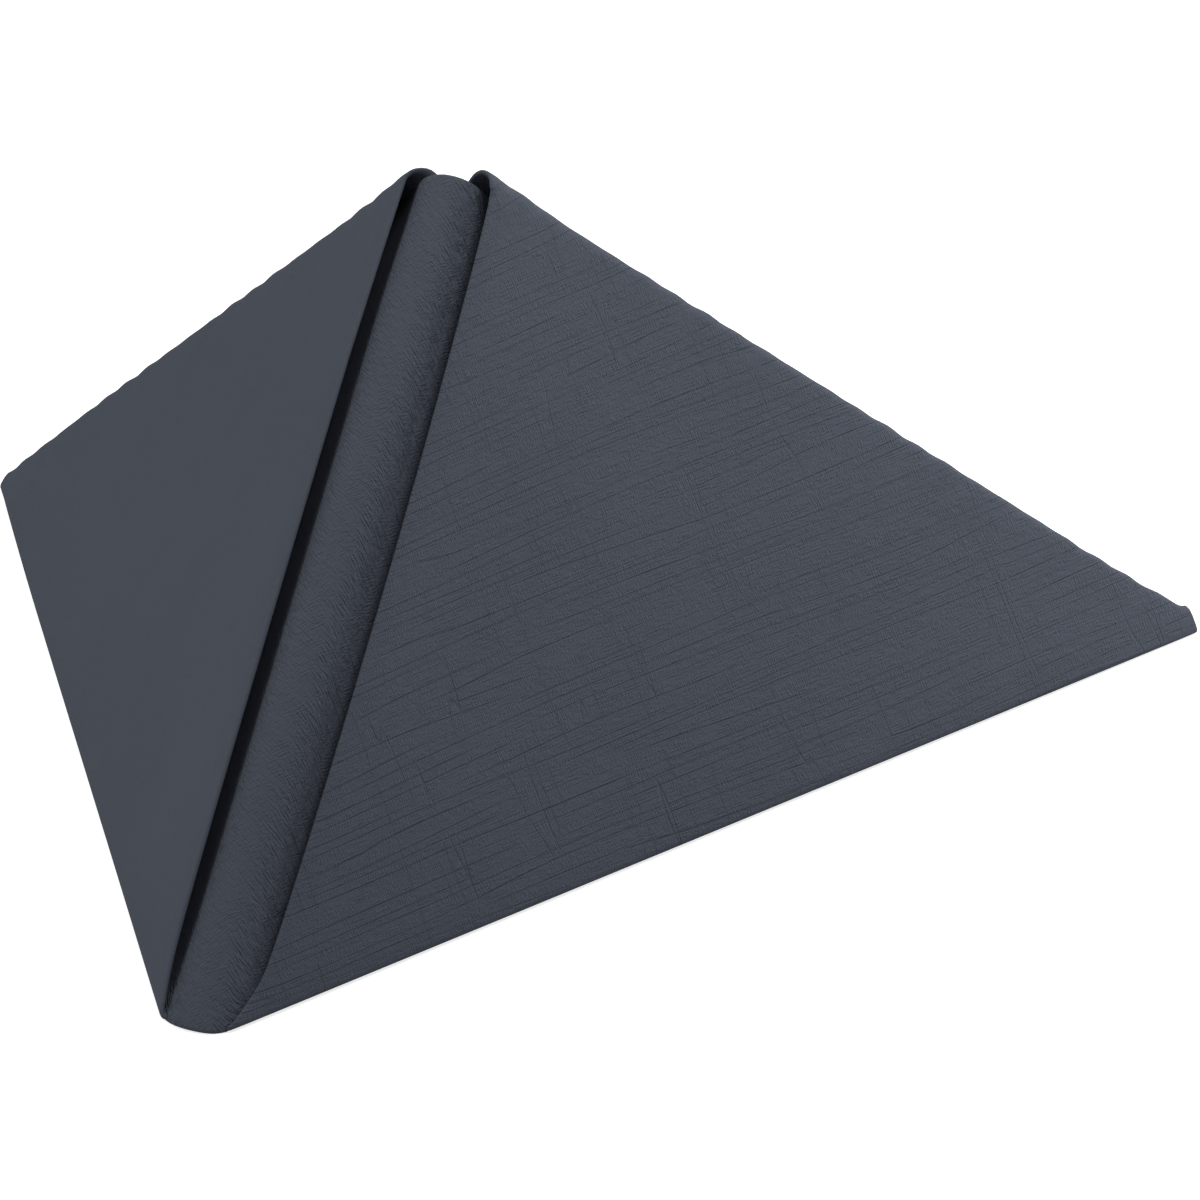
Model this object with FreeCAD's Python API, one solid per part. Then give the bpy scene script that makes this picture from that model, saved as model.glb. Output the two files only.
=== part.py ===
"""A square paper napkin folded into a standing pyramid. It is one sheet, eight plies deep in each face.

The napkin is folded corner to corner, its two side corners are folded up to the top corner, and the
square that this makes is folded in half. It then stands like a tent: two triangular faces meet at a soft
ridge, and the sheet under the two flaps shows there as a round roll.

Lengths are millimetres. In the ridge frame Y runs along the ridge from the nose to the peak, Z points
outwards and X to the right, with the origin on the roll's axis at the nose. In a face's frame X runs from
the flap's seam to the side corner and Z is the face's outward normal. The finished part has +Z up, its
nose towards -Y and its origin on the table, under the middle of its outline.
"""

import FreeCAD, Part
import math
import os

from FreeCAD import Vector

# Sheet
napkin_side = 400.0
paper = 0.40
ply_gap = 0.15  # air between the two plies that lie together all through the folded stack

# Folded stack
half_fold_gap = 0.30  # air inside the half fold, between the outer and the inner pair of plies
flap_gap = 0.30  # air between a flap and the sheet under it, at the bottom fold
flap_lift = 2.00  # how much further the flap's seam stands off at the peak

# Ridge
roll_radius = 6.00  # middle of the stack, where it bends round the ridge
face_turn = math.radians(50.5)  # how far each face turns down from the ridge

# Table
pressed = 0.08  # how far the two bottom folds are pressed flat

# Worked out from the sizes above
diagonal = napkin_side / math.sqrt(2)
half_fold = diagonal / 2  # from the nose to the half fold
nose_half = roll_radius * face_turn  # half the nose's width, laid flat
corner = (diagonal - nose_half) / 2  # the side corner's distance from the seam, and from the nose
fold_end = half_fold - nose_half  # where the half fold ends, at the sheet's cut edge
pair = 2 * paper + ply_gap
main_level = (half_fold_gap + pair) / 2  # how far the main layer's two pairs lie from the stack's middle
flap_level = main_level + pair + flap_gap
flap_tilt = math.atan(flap_lift / half_fold)
ridge_tilt = math.atan(math.sin(face_turn))  # both bottom folds then lie flat on the table
past_stack = roll_radius + 2 * (flap_level + flap_lift)  # beyond the stack's depth, from its middle
past_sheet = 2 * diagonal  # beyond the whole napkin

origin = Vector(0, 0, 0)
x_axis = Vector(1, 0, 0)
y_axis = Vector(0, 1, 0)
z_axis = Vector(0, 0, 1)


def place(q, y, level):
    """A point in a face's frame: q from the seam, y from the nose, and a level from the stack's middle."""
    return Vector(q, y, roll_radius + level)


def line(start, end):
    return Part.LineSegment(start, end).toShape()


def arc(start, middle, end):
    return Part.Arc(start, middle, end).toShape()


def main_turn(q, offset):
    """The main layer's half circle over the half fold: its outer end, its top and its inner end."""
    radius = main_level + offset
    return place(q, half_fold, radius), place(q, half_fold + radius, 0), place(q, half_fold, -radius)


def flap_turn(q, offset):
    """The flap's wider turn over the half fold. It runs into the tilted flap with no kink."""
    radius = flap_level * math.cos(flap_tilt) + (half_fold - q) * math.sin(flap_tilt) + offset
    y = half_fold - radius * math.sin(flap_tilt)
    level = radius * math.cos(flap_tilt)
    return place(q, y, level), place(q, half_fold + radius, 0), place(q, y, -level)


def bottom_turn(main_foot, flap_foot):
    """The bottom fold's half circle, which a section at 45 degrees to it cuts as half an ellipse."""
    centre = (main_foot + flap_foot) / 2
    radius = (flap_foot - main_foot).Length / 2
    longest = centre - y_axis * radius * math.sqrt(2)
    ellipse = Part.Ellipse(longest, centre + z_axis * radius, centre)
    return Part.ArcOfEllipse(ellipse, -math.pi / 2, math.pi / 2).toShape()


def strip_side(q, offset):
    """One side of the folded strip at q, from the flap's end inside the tent to the main layer's end."""
    flap_out, flap_top, flap_in = flap_turn(q, offset)
    main_out, main_top, main_in = main_turn(q, -offset)
    flap_rise = offset / math.cos(flap_tilt)
    flap_end = place(q, q, -flap_level - flap_rise)
    flap_foot = place(q, q, flap_level + flap_rise)
    main_foot = place(q, q, main_level - offset)
    main_end = place(q, q, offset - main_level)
    return [
        line(flap_end, flap_in),
        arc(flap_in, flap_top, flap_out),
        line(flap_out, flap_foot),
        bottom_turn(main_foot, flap_foot),
        line(main_foot, main_out),
        arc(main_out, main_top, main_in),
        line(main_in, main_end),
    ]


def face_section(q, half_thickness):
    """The whole strip's section at q: flap, bottom fold and main layer, each doubled over the half fold."""
    upper = strip_side(q, half_thickness)
    lower = strip_side(q, -half_thickness)
    main_end = line(upper[-1].Vertexes[1].Point, lower[-1].Vertexes[1].Point)
    flap_end = line(lower[0].Vertexes[0].Point, upper[0].Vertexes[0].Point)
    return Part.Wire(upper + [main_end] + lower[::-1] + [flap_end])


def roll_section(half_thickness):
    """The main layer's section at the ridge, from its end in the tent over the half fold to the nose."""
    over_out, over_top, over_in = main_turn(0, half_thickness)
    under_out, under_top, under_in = main_turn(0, -half_thickness)
    over_nose = place(0, pair / 2, main_level + half_thickness)
    under_nose = place(0, pair / 2, main_level - half_thickness)
    over_end = place(0, 0, -main_level - half_thickness)
    under_end = place(0, 0, half_thickness - main_level)
    return Part.Wire([
        line(over_end, over_in),
        arc(over_in, over_top, over_out),
        line(over_out, over_nose),
        line(over_nose, under_nose),
        line(under_nose, under_out),
        arc(under_out, under_top, under_in),
        line(under_in, under_end),
        line(under_end, over_end),
    ])


def round_edge(middle, upwards, outwards):
    """A half disc that rounds the folded edge of a pair of plies."""
    upper = middle + upwards * pair / 2
    lower = middle - upwards * pair / 2
    return Part.Wire([arc(upper, middle + outwards * pair / 2, lower), line(lower, upper)])


def around_ridge(section):
    """A section at the ridge turned through the whole roll, from the left face to the right one."""
    start = section.copy()
    start.rotate(origin, y_axis, -math.degrees(face_turn))
    return Part.Face(start).revolve(origin, y_axis, 2 * math.degrees(face_turn))


def seam_fold():
    """The rounded fold along the flap's seam, up the face, over the half fold and down inside."""
    foot = place(0, pair / 2, flap_level + pair / 2 * math.tan(flap_tilt))
    flap_out, flap_top, flap_in = flap_turn(0, 0)
    path = [line(foot, flap_out), arc(flap_out, flap_top, flap_in), line(flap_in, place(0, 0, -flap_level))]
    upwards = Vector(0, -math.sin(flap_tilt), math.cos(flap_tilt))
    return Part.Wire(path).makePipeShell([round_edge(foot, upwards, -x_axis)], True, False)


def nose_fold():
    """The rounded fold across the nose, where the main layer's two outer plies join."""
    return around_ridge(round_edge(place(0, pair / 2, main_level), z_axis, -y_axis))


def on_plane(face):
    """A flat face with four corners, set on a true plane. Any other face is left as it is."""
    if not face.findPlane() or len(face.Vertexes) != 4:
        return face
    corners = [vertex.Point for vertex in face.OuterWire.OrderedVertexes]
    return Part.Face(Part.makePolygon(corners + corners[:1]))


def both_faces(right):
    """A shape in the right face's frame, turned down from the ridge, and its mirror image on the left."""
    turned = right.copy()
    turned.rotate(origin, y_axis, math.degrees(face_turn))
    return [turned, turned.mirror(origin, x_axis)]


def folded(half_thickness):
    """The folded strip of a given thickness, with square edges and its side corners not yet cut."""
    sections = [face_section(0, half_thickness), face_section(corner, half_thickness)]
    sides = Part.makeCompound([on_plane(face) for face in Part.makeLoft(sections, True, True).Faces])
    sides.sewShape()
    face = Part.Solid(sides.Shells[0])
    return around_ridge(roll_section(half_thickness)).multiFuse(both_faces(face))


def prism(outline, low, high):
    """A prism on an outline of (q, y) corners, between two levels of the stack."""
    corners = [place(q, y, low) for q, y in outline]
    return Part.Face(Part.makePolygon(corners + corners[:1])).extrude(z_axis * (high - low))


def beyond_cut_edge():
    """What lies past the sheet's cut edge in one face. The half fold brings this edge to the bottom."""
    past_corner = half_fold - (past_sheet - fold_end)
    outside = [
        (fold_end, past_sheet), (fold_end, half_fold), (past_sheet, past_corner), (past_sheet, past_sheet),
    ]
    inside = [
        (fold_end, past_sheet), (fold_end, half_fold), (-pair, nose_half - pair),
        (-pair, -past_sheet), (past_sheet, -past_sheet), (past_sheet, past_sheet),
    ]
    return prism(outside, 0, past_stack).fuse(prism(inside, -past_stack, 0))


def beyond_tip():
    """What lies past the sheet's pointed corner, which hangs inside the roll down to the nose."""
    tip_side = (roll_radius - main_level) * math.sin(face_turn)
    reach = past_sheet / tip_side
    outline = [
        (0, 0), (tip_side * reach, nose_half * reach), (tip_side * reach, -past_sheet),
        (-tip_side * reach, -past_sheet), (-tip_side * reach, nose_half * reach),
    ]
    core = Part.makeCylinder(roll_radius, 2 * past_sheet, -y_axis * past_sheet, y_axis)
    return core.common(prism(outline, -roll_radius, past_stack))


def napkin():
    skin = folded(pair / 2).multiFuse([nose_fold()] + both_faces(seam_fold()))
    air = folded(ply_gap / 2)
    sheet = skin.cut(air).cut(both_faces(beyond_cut_edge()) + [beyond_tip()])
    sheet.rotate(origin, x_axis, math.degrees(ridge_tilt))

    fold_middle = (main_level + flap_level) / 2
    fold_radius = (flap_level - main_level + pair) / 2
    lowest = (roll_radius + fold_middle) * math.cos(face_turn) * math.cos(ridge_tilt) - fold_radius
    table = lowest + pressed
    below = Part.makeBox(2 * past_sheet, 2 * past_sheet, past_sheet)
    below.translate(Vector(-past_sheet, -past_sheet, table - past_sheet))
    standing = sheet.cut(below)

    box = standing.optimalBoundingBox(False)
    standing.translate(Vector(-box.Center.x, -box.Center.y, -table))
    return standing


os.makedirs("parts", exist_ok=True)
napkin().exportStep("parts/napkin.step")
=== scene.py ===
"""A linen-embossed paper napkin, folded into a standing pyramid and set on a plain pale floor.

The napkin is one square sheet. Its mesh is cut along the creases, and each point is carried through the
folds in the order in which the napkin is folded: corner to corner, both side corners up, the square in
half, and last the bend at the ridge that lets it stand.
"""

import math
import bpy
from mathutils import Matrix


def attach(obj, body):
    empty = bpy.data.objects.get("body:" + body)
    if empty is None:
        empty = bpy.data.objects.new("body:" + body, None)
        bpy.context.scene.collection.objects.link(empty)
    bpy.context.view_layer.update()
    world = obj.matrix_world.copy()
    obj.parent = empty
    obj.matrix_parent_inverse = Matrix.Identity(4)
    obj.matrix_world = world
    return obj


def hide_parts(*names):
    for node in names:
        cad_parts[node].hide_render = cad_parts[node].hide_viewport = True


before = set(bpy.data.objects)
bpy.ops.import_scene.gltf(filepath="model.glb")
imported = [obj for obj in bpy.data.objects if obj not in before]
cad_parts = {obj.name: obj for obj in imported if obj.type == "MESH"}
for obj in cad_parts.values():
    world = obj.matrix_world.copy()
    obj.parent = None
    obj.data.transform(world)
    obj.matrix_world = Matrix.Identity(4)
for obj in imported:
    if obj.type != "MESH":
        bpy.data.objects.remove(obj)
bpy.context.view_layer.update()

from types import SimpleNamespace

import bpy
import numpy as np
from bpy.props import FloatProperty, FloatVectorProperty, PointerProperty, StringProperty
from mathutils import Matrix, Vector
from mathutils.geometry import delaunay_2d_cdt

bl_info = {
    "name": "Pyramid napkin",
    "version": (1, 0, 0),
    "blender": (4, 5, 0),
    "location": "View3D > Sidebar > Napkin",
    "description": "Builds a square paper napkin folded into a standing pyramid",
    "category": "Add Mesh",
}

MM = 0.001
NODE = "napkin"
BODY = "root"


# Settings


class NapkinSheetSettings(bpy.types.PropertyGroup):
    """The sheet and its folds."""

    side: FloatProperty(
        name="Side", description="Side of the square sheet before it is folded",
        default=400 * MM, min=0.2, max=0.6, unit="LENGTH",
    )
    paper: FloatProperty(
        name="Paper", description="Thickness of the paper",
        default=0.30 * MM, min=0.0001, max=0.001, unit="LENGTH",
    )
    ply_step: FloatProperty(
        name="Ply step", description="From the middle of one ply to the middle of the next in a pair",
        default=0.42 * MM, min=0.0002, max=0.002, unit="LENGTH",
    )
    half_fold_step: FloatProperty(
        name="Half fold step", description="From ply to ply inside the half fold",
        default=0.50 * MM, min=0.0002, max=0.003, unit="LENGTH",
    )
    flap_step: FloatProperty(
        name="Flap step", description="From the layer's outer ply to the flap's inner ply, at the bottom",
        default=0.50 * MM, min=0.0002, max=0.003, unit="LENGTH",
    )
    tip_pinch: FloatProperty(
        name="Tip pinch", description="Share of the stack's thickness that is left at the two side tips",
        default=0.55, min=0.2, max=1, subtype="FACTOR",
    )
    half_fold_drop: FloatProperty(
        name="Half fold drop", description="How far the fold in half lies below the middle of the diagonal",
        default=1.3 * MM, min=0.0, max=0.01, unit="LENGTH",
    )
    flap_lift: FloatVectorProperty(
        name="Flap lift", description="How much further the left and the right flap stand off at the peak",
        default=(0.0, 0.8 * MM), size=2, min=0.0, max=0.01, unit="LENGTH",
    )
    seam_curl: FloatVectorProperty(
        name="Seam curl", description="How far the left and the right seam curl up below the top",
        default=(0.95 * MM, 0.5 * MM), size=2, min=0.0, max=0.01, unit="LENGTH",
    )
    curl_rise: FloatProperty(
        name="Curl rise", description="How far above the foot the seam's curl has opened",
        default=8 * MM, min=0.002, max=0.1, unit="LENGTH",
    )
    curl_width: FloatProperty(
        name="Curl width", description="How far the curl reaches into the flap from its seam",
        default=22 * MM, min=0.002, max=0.1, unit="LENGTH",
    )
    top_curl: FloatVectorProperty(
        name="Top curl", description="How far the left and the right seam curl up at the top edge",
        default=(0.45 * MM, 0.75 * MM), size=2, min=0.0, max=0.01, unit="LENGTH",
    )
    top_curl_width: FloatProperty(
        name="Top curl width", description="How far the top edge's curl reaches into the flap",
        default=11 * MM, min=0.002, max=0.1, unit="LENGTH",
    )
    seam_bow: FloatVectorProperty(
        name="Seam bow", description="How far the left and the right seam bow away from the roll",
        default=(0.8 * MM, 2.5 * MM), size=2, min=0.0, max=0.01, unit="LENGTH",
    )
    valley: FloatVectorProperty(
        name="Valley", description="How far the layers under the left and the right flap sink",
        default=(1.3 * MM, 1.35 * MM), size=2, min=0.0, max=0.01, unit="LENGTH",
    )
    back_draw: FloatVectorProperty(
        name="Back draw", description="How far the left and the right seam run in behind the peak",
        default=(3.8 * MM, 0.9 * MM), size=2, min=0.0, max=0.01, unit="LENGTH",
    )
    nub: FloatVectorProperty(
        name="Nub", description="Size of the round nub of layers at the left and the right tip",
        default=(1.0 * MM, 1.7 * MM), size=2, min=0.0, max=0.01, unit="LENGTH",
    )
    tip_draw: FloatVectorProperty(
        name="Tip draw", description="How far the left and the right tip are drawn out",
        default=(0.4 * MM, 1.6 * MM), size=2, min=0.0, max=0.01, unit="LENGTH",
    )
    foot_reach: FloatProperty(
        name="Foot reach", description="How far up the roll its foot is drawn down to the table",
        default=16 * MM, min=0.001, max=0.1, unit="LENGTH",
    )
    nose_skew: FloatProperty(
        name="Nose skew", description="Share by which the foot hangs lower on the right, higher on the left",
        default=0.2, min=0.0, max=0.8, subtype="FACTOR",
    )
    foot_flat: FloatProperty(
        name="Foot flat", description="How far the round end of the foot is flattened",
        default=1.0 * MM, min=0.0, max=0.005, unit="LENGTH",
    )
    roll_radius: FloatProperty(
        name="Roll radius", description="Radius of the ridge at the middle of the stack",
        default=6.16 * MM, min=0.002, max=0.02, unit="LENGTH",
    )
    face_turn: FloatProperty(
        name="Face turn", description="How far each face turns down from the ridge",
        default=math.radians(50.0), min=0.3, max=1.4, unit="ROTATION",
    )
    mesh_step: FloatProperty(
        name="Mesh step", description="Spacing of the sheet's points between its creases",
        default=2.5 * MM, min=0.001, max=0.02, unit="LENGTH",
    )


class NapkinPaperSettings(bpy.types.PropertyGroup):
    """The paper's colour and emboss."""

    colour: StringProperty(
        name="Colour", description="Colour of the dyed paper, as sRGB hex", default="484D57",
    )
    thread: FloatProperty(
        name="Thread", description="Spacing of the fine embossed threads",
        default=0.62 * MM, min=0.0002, max=0.005, unit="LENGTH",
    )
    depth: FloatProperty(
        name="Emboss depth", description="Depth of the linen emboss",
        default=0.17 * MM, min=0.0, max=0.001, unit="LENGTH",
    )


class NapkinStageSettings(bpy.types.PropertyGroup):
    """The floor and the camera."""

    floor: StringProperty(name="Floor", description="Colour of the floor, as sRGB hex", default="DCDCDC")
    azimuth: FloatProperty(
        name="Azimuth", description="The camera's turn to the right of the ridge",
        default=math.radians(18.59), unit="ROTATION",
    )
    elevation: FloatProperty(
        name="Elevation", description="The camera's height angle over the table",
        default=math.radians(23.22), unit="ROTATION",
    )
    roll: FloatProperty(
        name="Roll", description="The camera's turn about its own line of sight",
        default=math.radians(-0.55), unit="ROTATION",
    )
    distance: FloatProperty(
        name="Distance", description="From the camera to the point that it looks at",
        default=2.3823, min=0.1, unit="LENGTH",
    )
    aim: FloatVectorProperty(
        name="Aim", description="The point that the camera looks at",
        default=(32.85 * MM, -5.82 * MM, 36.45 * MM), subtype="XYZ", unit="LENGTH",
    )
    lens: FloatProperty(
        name="Lens", description="Focal length in millimetres on a 36 mm sensor", default=494.6, min=10,
    )


def srgb(code):
    """A hex colour as linear red, green, blue and alpha."""
    parts = [int(code[i:i + 2], 16) / 255 for i in (0, 2, 4)]
    return [c / 12.92 if c <= 0.04045 else ((c + 0.055) / 1.055) ** 2.4 for c in parts] + [1.0]


def add_node(tree, kind, settings=None, inputs=None):
    """Adds a node, sets its properties, and fills or links its inputs by name or number."""
    node = tree.nodes.new(kind)
    for name, value in (settings or {}).items():
        setattr(node, name, value)
    for name, value in (inputs or {}).items():
        if isinstance(value, bpy.types.NodeSocket):
            tree.links.new(value, node.inputs[name])
        else:
            node.inputs[name].default_value = value
    return node


# The folded sheet


def fold_sizes(s):
    """The sizes that follow from the sheet and its folds."""
    diagonal = s.side / math.sqrt(2)
    nose_half = s.roll_radius * s.face_turn
    pair_step = s.ply_step + s.flap_step
    main_level = (s.half_fold_step + s.ply_step) / 2
    return SimpleNamespace(
        diagonal=diagonal,
        half_fold=diagonal / 2 - s.half_fold_drop,
        nose_half=nose_half,
        tuck_height=2 * s.half_fold_drop,
        pair_step=pair_step,
        main_level=main_level,
        flap_level=main_level + pair_step,
        ply_half=s.ply_step / 2,
        ply_arc=math.pi * s.ply_step / 2,
        bottom_arc=math.pi * pair_step / 2,
        flap_tilt=[math.atan(lift / (diagonal / 2)) for lift in s.flap_lift],
        ridge_tilt=math.atan(math.sin(s.face_turn)),
    )


def wave(x, period, phase):
    """A sine wave along x."""
    return np.sin(2 * math.pi * x / period + phase)


def corner_to_corner(y, f):
    """The first fold, along the sheet's diagonal. Gives the height over the fold and the ply's level."""
    turn = np.clip(math.pi * (0.5 - y / f.ply_arc), 0, math.pi)
    bent = f.ply_arc / 2 - f.ply_half * np.sin(turn)
    height = np.where(np.abs(y) < f.ply_arc / 2, bent, np.abs(y))
    return height, -f.ply_half * np.cos(turn)


def eased(share):
    """A share from 0 to 1, with a smooth start and end."""
    share = np.clip(share, 0, 1)
    return share ** 2 * (3 - 2 * share)


def side_corners_up(x, y, level, f):
    """The second folds, which bring the side corners up and leave a flap on each half of the square."""
    along = (x + y) / math.sqrt(2)
    past = (x - y - f.nose_half) / math.sqrt(2)
    share = np.clip(past / f.bottom_arc + 0.5, 0, 1)
    radius = f.pair_step / 2 - level
    bent = radius * np.sin(math.pi * share) - f.bottom_arc / 2
    past = np.where(share <= 0, past, np.where(share >= 1, -past, bent))
    level = f.pair_step / 2 - radius * np.cos(math.pi * share)
    x = (along + past) / math.sqrt(2) + f.nose_half / 2
    y = (along - past) / math.sqrt(2) - f.nose_half / 2
    return x, y, level, share


def in_half(q, y, level, flap, side, f, s):
    """The third fold, in half over the top, round the inner plies. A flap stands off and turns wider."""
    scallop_reach = 9 * MM
    blend_reach = 30 * MM
    tilt = flap * np.where(side < 0, *f.flap_tilt)
    foot = np.maximum(y - q, 0)
    top = np.maximum(f.half_fold - q, 0)
    top_height = np.where(side < 0, *s.top_curl)
    top_curl = flap * top_height * curl_rise(top, s) * np.exp(-(q / s.top_curl_width) ** 2)
    scallop = top_scallop(q, side)
    radius = (level + top_curl + scallop) * np.cos(tilt) + top * np.sin(tilt)
    start = f.half_fold - radius * np.sin(tilt)
    past = (y - start) / np.cos(tilt)
    angle = np.clip(past / radius, 0, math.pi + 2 * tilt) - tilt
    over = past - radius * (math.pi + 2 * tilt)
    near_top = np.clip(1 - (start - y) / scallop_reach, 0, 1) ** 2
    below_top = np.clip((start - y) / blend_reach, 0, 1)
    width = s.top_curl_width + (s.curl_width - s.top_curl_width) * below_top
    height = top_height * (1 - below_top) + np.where(side < 0, *s.seam_curl) * below_top
    front_curl = flap * height * curl_rise(foot, s) * np.exp(-(q / width) ** 2)
    rising = level + front_curl + foot * np.tan(tilt) + scallop * near_top
    turned = np.where(over <= 0, f.half_fold + radius * np.sin(angle), start - over * np.cos(tilt))
    y = np.where(past <= 0, y, turned)
    level = np.where(past <= 0, rising, np.where(
        over <= 0, radius * np.cos(angle), over * np.sin(tilt) - radius * np.cos(tilt)))
    return y, level, past > 0


def tuck_corner(y, level, hidden, f):
    """The hidden layers' corner would reach past the foot, so it bends inwards just above the table."""
    upwards = 0.9
    inwards = 0.5
    excess = hidden * np.maximum(f.tuck_height - y, 0)
    return y + upwards * excess, level - inwards * excess


def round_tip(q, y, side, f, s):
    """Draws each tip out and rounds it to a nub, where the stack of layers spreads at its end."""
    widening = 1.4
    draw_reach = 9 * MM
    along = (y + q) / math.sqrt(2)
    foot = (y - q) / math.sqrt(2)
    to_tip = np.maximum(math.sqrt(2) * f.half_fold - along, 0)
    foot = foot * (1 + widening * np.exp(-(to_tip / np.where(side < 0, *s.nub)) ** 3))
    along = along + np.where(side < 0, *s.tip_draw) * np.exp(-(to_tip / draw_reach) ** 2)
    return (along - foot) / math.sqrt(2), (along + foot) / math.sqrt(2)


def curl_rise(foot, s):
    """How far the seam's curl has opened at a distance above the flap's bottom fold."""
    return 1 - np.exp(-foot / s.curl_rise)


def top_scallop(q, side):
    """The top edge's low uneven waves, which set in beside the ridge."""
    height = 0.11 * MM
    set_in = 4 * MM
    swell_period = 41 * MM
    period = np.where(side > 0, 5.9 * MM, 7.2 * MM)
    swell = 0.6 + 0.4 * wave(q, swell_period, 0.7 + side)
    waves = wave(q, period, 0.4) + 0.4 * wave(q, period * 1.9, 1.3 + side)
    return height * swell * waves * np.clip(q / set_in, 0, 1)


def fold_points(x, y, s):
    """Carries the flat sheet's points, x along the diagonal, through the folds into the part's frame.

    In the folded square, q is the distance from the roll, height runs up along the ridge, and level is how
    far out a ply lies from the middle of the stack. side is -1 on the left and 1 on the right, and flap is 1
    on a flap and 0 on the layers under it.
    """
    f = fold_sizes(s)
    side = np.where(x < 0, -1.0, 1.0)
    height, level = corner_to_corner(y, f)
    across, height, level, share = side_corners_up(np.abs(x), height, level, f)
    flap = np.clip(2 * share, 0, 1)
    q = across - f.nose_half
    from_top = np.abs(height - f.half_fold)
    from_foot = np.maximum(f.half_fold - from_top - q, 0)
    sink = (1 - flap) * valley_depth(q, from_top, side, s) * curl_rise(from_foot, s)
    moved = flap * seam_move(q, height, side, f, s)
    # Where a flap moves, its bottom fold stays on the table.
    settled = (np.maximum(q + moved, 0) - np.maximum(q, 0)) * (1 - curl_rise(from_foot, s))
    height, level, hidden = in_half(q, height, (level + f.main_level) * pinch(q, s), flap, side, f, s)
    height, level = tuck_corner(height, level - sink, hidden, f)
    q, height = round_tip(q, height, side, f, s)
    return round_ridge(q + moved, height + settled, level, side, f, s), hidden


def round_ridge(q, height, level, side, f, s):
    """The last bend, round the ridge and down both faces. The roll's foot is drawn down to the table."""
    turn = s.face_turn * np.clip((q + f.nose_half) / f.nose_half, 0, 1)
    sag = s.roll_radius * (np.cos(turn) - math.cos(s.face_turn)) / math.tan(f.ridge_tilt)
    sag = sag * (1 + s.nose_skew * side * turn / s.face_turn)
    height = height - sag * np.exp(-np.maximum(height, 0) / s.foot_reach)
    flat = np.maximum(q, 0)
    radius = s.roll_radius + level
    right = side * (radius * np.sin(turn) + flat * np.cos(turn))
    out = radius * np.cos(turn) - flat * np.sin(turn)
    cos = math.cos(f.ridge_tilt)
    sin = math.sin(f.ridge_tilt)
    rounded = (np.cos(turn) - math.cos(s.face_turn)) / (1 - math.cos(s.face_turn))
    flatten = s.foot_flat * rounded ** 2 * np.exp(-np.maximum(height, 0) / s.foot_reach)
    back = height * cos - out * sin + flatten
    return np.column_stack([right, back, height * sin + out * cos])


def seam_move(q, height, side, f, s):
    """How far a flap moves off the roll. Its seam bows out in front and is drawn in behind the peak."""
    up = np.clip(height / f.half_fold, 0, 1)
    bow = np.where(side < 0, *s.seam_bow) * bow_share(up) * np.exp(-np.maximum(q, 0) / s.curl_width)
    drawn = np.where(side < 0, *s.back_draw) * back_share(height - f.half_fold)
    return bow - drawn * np.exp(-(q / s.curl_width) ** 2)


def bow_share(up):
    """Share of a seam's bow at a share of its height. At the foot the seam wraps round the roll instead."""
    wrap = 0.7
    wrap_reach = 0.037
    bowed = np.abs(np.sin(math.pi * up)) ** 0.25 * (1 - 0.4 * up ** 4)
    return bowed - wrap * np.exp(-(up / wrap_reach) ** 2)


def back_share(past):
    """Share of the draw at the back, past the top edge. It sets in over the fold and fades down the back."""
    set_in = 6 * MM
    fade = 40 * MM
    return eased(past / set_in) * np.exp(-np.maximum(past - set_in, 0) / fade)


def valley_depth(q, from_top, side, s):
    """How far the layers under the flaps sink at a distance from the ridge's end and from the top.

    They sink beside the roll, and further on the left of the peak, where the roll is rounder.
    """
    peak_reach = 14 * MM
    bottom = 4.5 * MM
    fade = 20 * MM
    round_peak = np.where(side < 0, 1, 0) * np.exp(-(from_top / peak_reach) ** 2)
    start = np.where(side < 0, -5.8, -4.2) * MM - 0.5 * MM * round_peak
    depth = np.where(side < 0, *s.valley) * (1 + 0.5 * round_peak)
    return depth * eased((q - start) / (bottom - start)) * np.exp(-(np.maximum(q - bottom, 0) / fade) ** 2)


def pinch(q, s):
    """Share of the stack's full thickness at a distance from the ridge. The plies lie closer at the tips."""
    half_diagonal = s.side / math.sqrt(8)
    start = 0.7
    near_tip = np.clip((q / half_diagonal - start) / (1 - start), 0, 1)
    return 1 - (1 - s.tip_pinch) * near_tip ** 2


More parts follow.
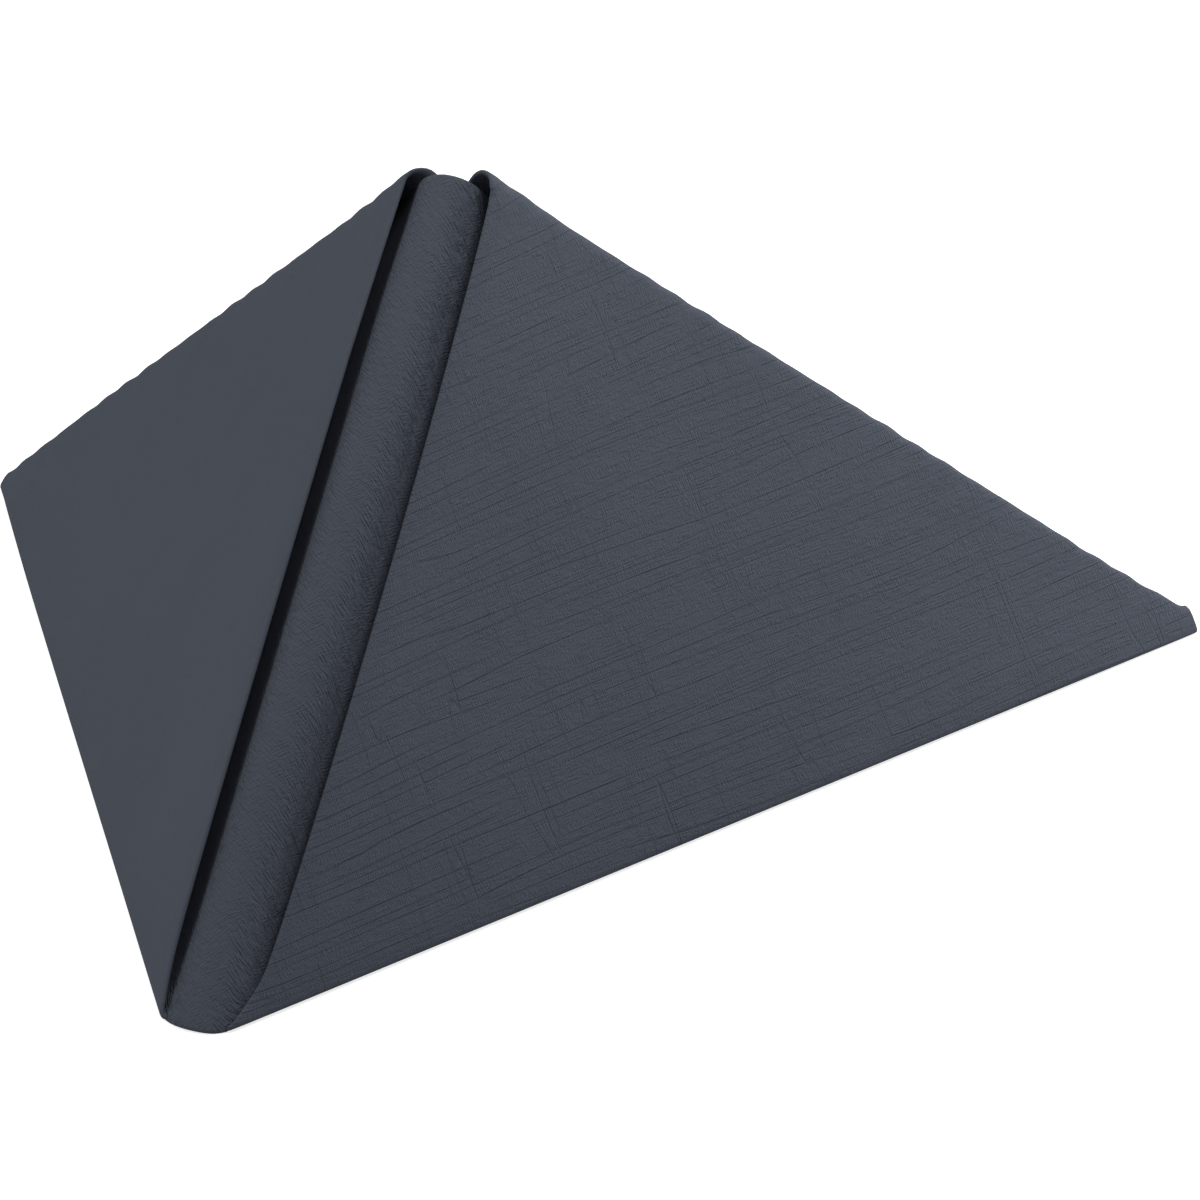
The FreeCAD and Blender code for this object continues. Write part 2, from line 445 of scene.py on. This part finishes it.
def crease_lines(s):
    """Rows of points along every crease, close enough to draw each bend, as lists of polylines."""
    f = fold_sizes(s)
    step = s.mesh_step
    edge = f.diagonal
    lines = []

    def along_x(y, spacing):
        reach = edge - abs(y)
        count = max(2, round(2 * reach / spacing) + 1)
        lines.append([(x, y) for x in np.linspace(-reach, reach, count)])

    def along_y(x, low, high, spacing):
        count = max(2, round((high - low) / spacing) + 1)
        lines.append([(x, y) for y in np.linspace(low, high, count)])

    # Corner to corner
    ply_rows = 7
    for y in np.linspace(-f.ply_arc / 2, f.ply_arc / 2, ply_rows):
        along_x(y, step)
    # Both side corners up
    bottom_rows = 9
    for past in np.linspace(-f.bottom_arc / 2, f.bottom_arc / 2, bottom_rows):
        start = f.nose_half + past * math.sqrt(2)
        reach = (edge - start) / 2
        count = round(reach * math.sqrt(2) / step)
        for side in (-1, 1):
            for half in (-1, 1):
                rows = np.linspace(0, reach, count)
                lines.append([(side * (start + t), half * t) for t in rows])
    # In half, under the flaps
    inner_rows = 6
    outer_rows = 10
    inner_arc = math.pi * (f.main_level - f.ply_half)
    outer_arc = math.pi * (f.main_level + f.ply_half)
    for y in np.linspace(0, inner_arc, inner_rows):
        along_x(f.half_fold + y, step)
    for y in np.linspace(0, outer_arc, outer_rows):
        along_x(-f.half_fold - y, step)
    # In half, on the flaps
    flap_rows = 18
    tilt = max(f.flap_tilt)
    widest = f.flap_level + f.ply_half + max(a + b for a, b in zip(s.flap_lift, s.seam_curl))
    for x in np.linspace(-widest * tilt, widest * (math.pi + 2 * tilt), flap_rows):
        for side in (-1, 1):
            place = side * (f.half_fold + f.nose_half + x)
            reach = edge - abs(place)
            along_y(place, -reach, reach, step / 2)
    # The bend at the ridge
    ridge_rows = 15
    for x in np.linspace(-f.nose_half, f.nose_half, ridge_rows):
        along_y(x, -edge + abs(x), edge - abs(x), step)
    return lines


def sheet_outline(s):
    """The sheet's edge as one closed polyline."""
    edge = s.side / math.sqrt(2)
    count = round(s.side / s.mesh_step)
    corners = [(edge, 0), (0, edge), (-edge, 0), (0, -edge)]
    points = []
    for (ax, ay), (bx, by) in zip(corners, corners[1:] + corners[:1]):
        for t in np.linspace(0, 1, count, endpoint=False):
            points.append((ax + (bx - ax) * t, ay + (by - ay) * t))
    return points + points[:1]


def flat_mesh(s):
    """The flat sheet as points and triangles, with edges along all creases."""
    unit = 1 / MM
    closest = 1e-4
    cell_size = 0.5 * s.mesh_step
    lines = crease_lines(s) + [sheet_outline(s)]
    points = []
    edges = []
    for line in lines:
        first = len(points)
        points += [Vector((x * unit, y * unit)) for x, y in line]
        edges += [(first + i, first + i + 1) for i in range(len(line) - 1)]
    taken = np.array(points)
    cells = set(map(tuple, np.floor(taken / (cell_size * unit)).astype(int)))
    edge = s.side / math.sqrt(2)
    rows = np.arange(-edge, edge, s.mesh_step)
    for i, y in enumerate(rows):
        for x in rows + (i % 2) * s.mesh_step / 2:
            if abs(x) + abs(y) > edge - s.mesh_step / 2:
                continue
            cell = np.floor(np.array((x, y)) / cell_size).astype(int)
            near = any((cell[0] + a, cell[1] + b) in cells for a in (-1, 0, 1) for b in (-1, 0, 1))
            if not near:
                points.append(Vector((x * unit, y * unit)))
    verts, _, faces, _, _, _ = delaunay_2d_cdt(points, edges, [], 0, closest)
    flat = np.array([tuple(v) for v in verts]) * MM
    faces = np.array([tuple(f) for f in faces])
    return flat, faces[~slivers(flat, faces)]


def slivers(flat, faces):
    """The faces with no width, which the edge of the sheet can leave where a crease ends on it."""
    narrowest = 0.002 * MM
    a, b, c = (flat[faces[:, i]] for i in range(3))
    doubled = np.abs((b[:, 0] - a[:, 0]) * (c[:, 1] - a[:, 1]) - (b[:, 1] - a[:, 1]) * (c[:, 0] - a[:, 0]))
    longest = np.max([np.linalg.norm(p - q, axis=1) for p, q in ((a, b), (b, c), (c, a))], axis=0)
    return doubled / longest < narrowest


def stand(points, hidden, s):
    """Centres the folded sheet over the frame's origin and stands its outer layers on the table.

    The table also presses up what reaches lower inside the tent.
    """
    low, high = points.min(axis=0), points.max(axis=0)
    points[:, :2] -= (low[:2] + high[:2]) / 2
    points[:, 2] -= points[~hidden, 2].min()
    points[:, 2] = np.maximum(points[:, 2], 0) + s.paper / 2
    return points


def make_mesh(name, s):
    """The folded sheet as a mesh, with the flat sheet's own coordinates as its UV map."""
    flat, faces = flat_mesh(s)
    points = stand(*fold_points(flat[:, 0], flat[:, 1], s), s)
    mesh = bpy.data.meshes.new(name)
    mesh.from_pydata(points.tolist(), [], faces.tolist())
    mesh.update()
    along = (flat[:, 0] + flat[:, 1]) / math.sqrt(2) / s.side + 0.5
    across = (flat[:, 1] - flat[:, 0]) / math.sqrt(2) / s.side + 0.5
    corners = np.zeros(len(mesh.loops), dtype=int)
    mesh.loops.foreach_get("vertex_index", corners)
    layer = mesh.uv_layers.new(name="sheet")
    layer.data.foreach_set("uv", np.column_stack([along, across])[corners].ravel())
    return mesh


# Materials


def linen_airlaid_paper(s, p):
    """Dyed airlaid paper, embossed with a linen weave by a heated roll.

    Soft unglazed fibres make it fully matt. The emboss gives long fine grooves that run one way, close short
    ticks across them like the rungs of a ladder, and a rare long groove across. Loose fibres give a grain.
    The left half of the sheet is embossed faintly, the grooves fade towards the right tip, and the bend at
    the ridge shows only the short ticks. The paper crinkles a little where it bends off the ridge.
    The grooves are also darkened in the base colour, which is painted shade.
    """
    material = bpy.data.materials.new("linen_embossed_airlaid_paper")
    material.use_nodes = True
    tree = material.node_tree
    shader = tree.nodes["Principled BSDF"]
    uv = add_node(tree, "ShaderNodeUVMap", {"uv_map": "sheet"})
    in_mm = s.side / MM
    sheet = add_node(tree, "ShaderNodeMapping", inputs={
        "Vector": uv.outputs["UV"], "Scale": (in_mm, in_mm, 1)})

    def noise(length, width, detail=0.0, rough=0.5, vector=None):
        """Noise in cells of a length along the threads and a width across them, in mm."""
        cell = add_node(tree, "ShaderNodeMapping", inputs={
            "Vector": vector or sheet.outputs["Vector"], "Scale": (1 / length, 1 / width, 1),
            "Location": (length * 3.7, width * 1.9, 0)})
        made = add_node(tree, "ShaderNodeTexNoise", {"noise_dimensions": "2D"}, {
            "Vector": cell.outputs["Vector"], "Scale": 1.0, "Detail": detail, "Roughness": rough})
        return made.outputs["Fac"]

    def spread(value, low, high, bottom=0.0, top=1.0):
        """Brings a value between two levels to the range from bottom to top, with a smooth start and end."""
        ranged = add_node(tree, "ShaderNodeMapRange", {"interpolation_type": "SMOOTHSTEP"}, {
            "Value": value, "From Min": low, "From Max": high, "To Min": bottom, "To Max": top})
        return ranged.outputs["Result"]

    def math_of(kind, a, b=0.0):
        """The result of one Math node."""
        return add_node(tree, "ShaderNodeMath", {"operation": kind}, {0: a, 1: b}).outputs["Value"]

    def ruled(place, spacing, width):
        """Thin lines at a spacing in mm, as 1 on a line and 0 between two, with a width as a share."""
        swing = math_of("SINE", math_of("MULTIPLY", place, math.pi / spacing))
        return spread(math_of("ABSOLUTE", swing), 0.0, width, 1.0, 0.0)

    # The threads waver a little over the sheet.
    thread = p.thread / MM
    drift = noise(90 * thread, 40 * thread, 1)
    shift = add_node(tree, "ShaderNodeCombineXYZ", inputs={"Y": math_of("MULTIPLY", drift, 1.3)})
    wavy = add_node(tree, "ShaderNodeVectorMath", {"operation": "ADD"}, {
        0: sheet.outputs["Vector"], 1: shift.outputs["Vector"]}).outputs["Vector"]

    # Where each part of the emboss shows, by the distance in mm to the right of the ridge
    bend_edge = 4.8
    from_ridge = add_node(tree, "ShaderNodeVectorMath", {"operation": "DOT_PRODUCT"}, {
        0: sheet.outputs["Vector"], 1: (math.sqrt(0.5), -math.sqrt(0.5), 0)}).outputs["Value"]
    on_right = spread(from_ridge, 2, 9, 0.12, 1.0)
    off_left = spread(from_ridge, -9, -5, 0.2, 1.0)
    before_tip = spread(from_ridge, 50, 130, 1.0, 0.6)
    from_bend = math_of("ABSOLUTE", math_of("SUBTRACT", math_of("ABSOLUTE", from_ridge), bend_edge))
    crinkle = spread(from_bend, 0.8, 4.0, 2.4, 0.6)

    # Long grooves along the threads and rare ones across, which stray and come and go
    groove_spacing = 2.8 * thread
    cross_spacing = 11 * thread
    axes = add_node(tree, "ShaderNodeSeparateXYZ", inputs={"Vector": wavy})
    strayed = math_of("MULTIPLY", noise(130 * thread, 6 * thread, 0), 5 * thread)
    grooves = ruled(math_of("ADD", axes.outputs["Y"], strayed), groove_spacing, 0.18)
    grooves = math_of("MULTIPLY", grooves, spread(noise(50 * thread, 4 * thread, 0), 0.3, 0.52, 0.2, 1.0))
    strayed = math_of("MULTIPLY", noise(7 * thread, 90 * thread, 0), 20 * thread)
    cross = ruled(math_of("ADD", axes.outputs["X"], strayed), cross_spacing, 0.07)
    cross = math_of("MULTIPLY", cross, spread(noise(20 * thread, 26 * thread, 0), 0.42, 0.58, 0.0, 0.9))
    cuts = math_of("MULTIPLY", math_of("MAXIMUM", grooves, cross), on_right)
    cuts = math_of("MULTIPLY", cuts, before_tip)

    # The close weave: fine threads, crinkles, ticks across the threads in patches, and loose fibres
    fine = math_of("MULTIPLY", noise(16 * thread, 0.42 * thread, 0, 0.5, wavy), on_right)
    crinkles = math_of("MULTIPLY", noise(2.6 * thread, 0.42 * thread, 0, 0.5, wavy), crinkle)
    patches = spread(noise(9 * thread, 4 * thread, 1), 0.38, 0.6, 0.5, 1.0)
    ticks = math_of("MULTIPLY", noise(0.40 * thread, 1.6 * thread, 0, 0.5, wavy), patches)
    ticks = math_of("MULTIPLY", ticks, spread(from_ridge, 2, 9, 1.1, 0.8))
    weave = math_of("MULTIPLY", math_of("ADD", crinkles, ticks), off_left)
    grain = noise(0.5 * thread, 0.45 * thread, 2, 0.6)

    height = math_of("MULTIPLY", fine, 0.5)
    height = math_of("ADD", height, weave)
    height = math_of("ADD", height, math_of("MULTIPLY", cuts, -0.85))
    height = math_of("ADD", height, math_of("MULTIPLY", grain, 0.4))
    bump = add_node(tree, "ShaderNodeBump", inputs={"Strength": 1.0, "Distance": p.depth, "Height": height})
    tree.links.new(bump.outputs["Normal"], shader.inputs["Normal"])

    # The dye is a little uneven, and the grooves are darkened as painted shade. Inputs 6 and 7 are colours A
    # and B.
    painted_groove_shade = 0.14
    dye_tone_and_painted_groove_shade = spread(noise(40, 40, 3, 0.55), 0.3, 0.7, 0.98, 1.02)
    # Painted shade: the colour is darkened where the groove mask lies, on top of the dye's uneven tone.
    dye_tone_and_painted_groove_shade = math_of("SUBTRACT", dye_tone_and_painted_groove_shade, math_of("MULTIPLY", cuts, painted_groove_shade))
    tint = add_node(tree, "ShaderNodeMix", {"data_type": "RGBA", "blend_type": "MULTIPLY"}, {
        "Factor": 1.0, 6: srgb(p.colour), 7: dye_tone_and_painted_groove_shade})
    tree.links.new(tint.outputs[2], shader.inputs["Base Color"])
    shader.inputs["Roughness"].default_value = 0.92
    shader.inputs["IOR"].default_value = 1.45
    shader.inputs["Specular IOR Level"].default_value = 0.15
    return material


def studio_floor(p):
    """Matt white studio floor. It is lit like paper, and the camera sees it a little brighter."""
    camera_lift = 0.75
    material = bpy.data.materials.new("matt_white_floor")
    material.use_nodes = True
    tree = material.node_tree
    tree.nodes.clear()
    diffuse = add_node(tree, "ShaderNodeBsdfDiffuse", inputs={"Color": srgb(p.floor)})
    path = add_node(tree, "ShaderNodeLightPath")
    glow = add_node(tree, "ShaderNodeMath", {"operation": "MULTIPLY"}, {
        0: path.outputs["Is Camera Ray"], 1: camera_lift})
    lift = add_node(tree, "ShaderNodeEmission", inputs={
        "Color": srgb("FFFFFF"), "Strength": glow.outputs["Value"]})
    both = add_node(tree, "ShaderNodeAddShader", inputs={
        0: diffuse.outputs["BSDF"], 1: lift.outputs["Emission"]})
    add_node(tree, "ShaderNodeOutputMaterial", inputs={"Surface": both.outputs["Shader"]})
    return material


# Operators


def deselect():
    for o in bpy.context.selected_objects:
        o.select_set(False)


class NAPKIN_OT_fold_sheet(bpy.types.Operator):
    """Folds the square sheet into the standing pyramid"""

    bl_idname = "napkin.fold_sheet"
    bl_label = "Fold the sheet"

    def execute(self, context):
        s = context.scene.napkin_sheet
        p = context.scene.napkin_paper
        smooth_below = math.radians(55)
        sheet = bpy.data.objects.new("napkin_sheet", make_mesh("napkin_sheet", s))
        context.scene.collection.objects.link(sheet)
        deselect()
        sheet.select_set(True)
        context.view_layer.objects.active = sheet
        wall = sheet.modifiers.new("paper", "SOLIDIFY")
        wall.thickness = s.paper
        wall.offset = 0
        bpy.ops.object.modifier_apply(modifier=wall.name)
        bpy.ops.object.shade_smooth_by_angle(angle=smooth_below)
        sheet.data.materials.append(linen_airlaid_paper(s, p))
        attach(sheet, BODY)
        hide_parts(NODE)
        return {"FINISHED"}


class NAPKIN_OT_set_stage(bpy.types.Operator):
    """Adds the floor, the soft light and the camera"""

    bl_idname = "napkin.set_stage"
    bl_label = "Set the stage"

    def execute(self, context):
        p = context.scene.napkin_stage
        floor_side = 8
        deselect()
        bpy.ops.mesh.primitive_plane_add(size=floor_side)
        floor = context.object
        floor.name = "floor"
        floor.data.materials.append(studio_floor(p))
        self.light_world(context)
        self.add_lamps()
        self.add_camera(context, p)
        context.scene.view_settings.view_transform = "Standard"
        return {"FINISHED"}

    def light_world(self, context):
        """An even soft light from all round. The camera sees it as plain white."""
        level = 0.34
        white = 1.0
        world = bpy.data.worlds.new("soft_white")
        context.scene.world = world
        world.use_nodes = True
        tree = world.node_tree
        tree.nodes.clear()
        path = add_node(tree, "ShaderNodeLightPath")
        seen = add_node(tree, "ShaderNodeMath", {"operation": "MAXIMUM"}, {
            0: path.outputs["Is Camera Ray"], 1: path.outputs["Is Transmission Ray"]})
        seen = add_node(tree, "ShaderNodeMath", {"operation": "MAXIMUM"}, {
            0: seen.outputs["Value"], 1: path.outputs["Is Glossy Ray"]})
        strength = add_node(tree, "ShaderNodeMapRange", inputs={
            "Value": seen.outputs["Value"], "To Min": level, "To Max": white})
        light = add_node(tree, "ShaderNodeBackground", inputs={
            "Color": srgb("FFFFFF"), "Strength": strength.outputs["Result"]})
        add_node(tree, "ShaderNodeOutputWorld", inputs={"Surface": light.outputs["Background"]})

    def add_lamps(self):
        """Soft boxes, given as name, place in metres, side in metres and power in watts."""
        aim = Vector((0, 0, 0.04))
        for name, place, side, power in (
            ("left_softbox", (-0.655, -0.175, 0.464), 0.5, 2.27),
            ("right_softbox", (0.129, 0.043, 0.342), 0.16, 0.62),
            ("back_softbox", (0.143, 0.194, 0.102), 0.16, 0.35),
        ):
            lamp = bpy.data.lights.new(name, "AREA")
            lamp.shape = "SQUARE"
            lamp.size = side
            lamp.energy = power
            made = bpy.data.objects.new(name, lamp)
            made.location = place
            made.visible_camera = False
            made.rotation_euler = (aim - made.location).to_track_quat("-Z", "Y").to_euler()
            bpy.context.scene.collection.objects.link(made)

    def add_camera(self, context, p):
        """A long lens at the photograph's angle."""
        data = bpy.data.cameras.new("camera")
        data.sensor_width = 36
        data.lens = p.lens
        camera = bpy.data.objects.new("camera", data)
        back = Vector((
            math.sin(p.azimuth) * math.cos(p.elevation),
            -math.cos(p.azimuth) * math.cos(p.elevation),
            math.sin(p.elevation),
        ))
        camera.location = Vector(p.aim) + back * p.distance
        aimed = (-back).to_track_quat("-Z", "Y").to_matrix()
        camera.rotation_euler = (aimed @ Matrix.Rotation(p.roll, 3, "Z")).to_euler()
        data.clip_start = 0.1
        data.clip_end = 20
        context.scene.collection.objects.link(camera)
        context.scene.camera = camera


class NAPKIN_PT_panel(bpy.types.Panel):
    """Lists the settings and the steps in the 3D view's sidebar"""

    bl_idname = "NAPKIN_PT_panel"
    bl_label = "Pyramid napkin"
    bl_space_type = "VIEW_3D"
    bl_region_type = "UI"
    bl_category = "Napkin"

    def draw(self, context):
        scene = context.scene
        for group in (scene.napkin_sheet, scene.napkin_paper, scene.napkin_stage):
            box = self.layout.box()
            for name in group.__annotations__:
                box.prop(group, name)
        self.layout.operator(NAPKIN_OT_fold_sheet.bl_idname)
        self.layout.operator(NAPKIN_OT_set_stage.bl_idname)


CLASSES = (
    NapkinSheetSettings,
    NapkinPaperSettings,
    NapkinStageSettings,
    NAPKIN_OT_fold_sheet,
    NAPKIN_OT_set_stage,
    NAPKIN_PT_panel,
)


def register():
    for c in CLASSES:
        bpy.utils.register_class(c)
    bpy.types.Scene.napkin_sheet = PointerProperty(type=NapkinSheetSettings)
    bpy.types.Scene.napkin_paper = PointerProperty(type=NapkinPaperSettings)
    bpy.types.Scene.napkin_stage = PointerProperty(type=NapkinStageSettings)


def unregister():
    del bpy.types.Scene.napkin_sheet
    del bpy.types.Scene.napkin_paper
    del bpy.types.Scene.napkin_stage
    for c in reversed(CLASSES):
        bpy.utils.unregister_class(c)


def main():
    register()
    bpy.ops.napkin.fold_sheet()
    bpy.ops.napkin.set_stage()


if __name__ == "__main__":
    main()
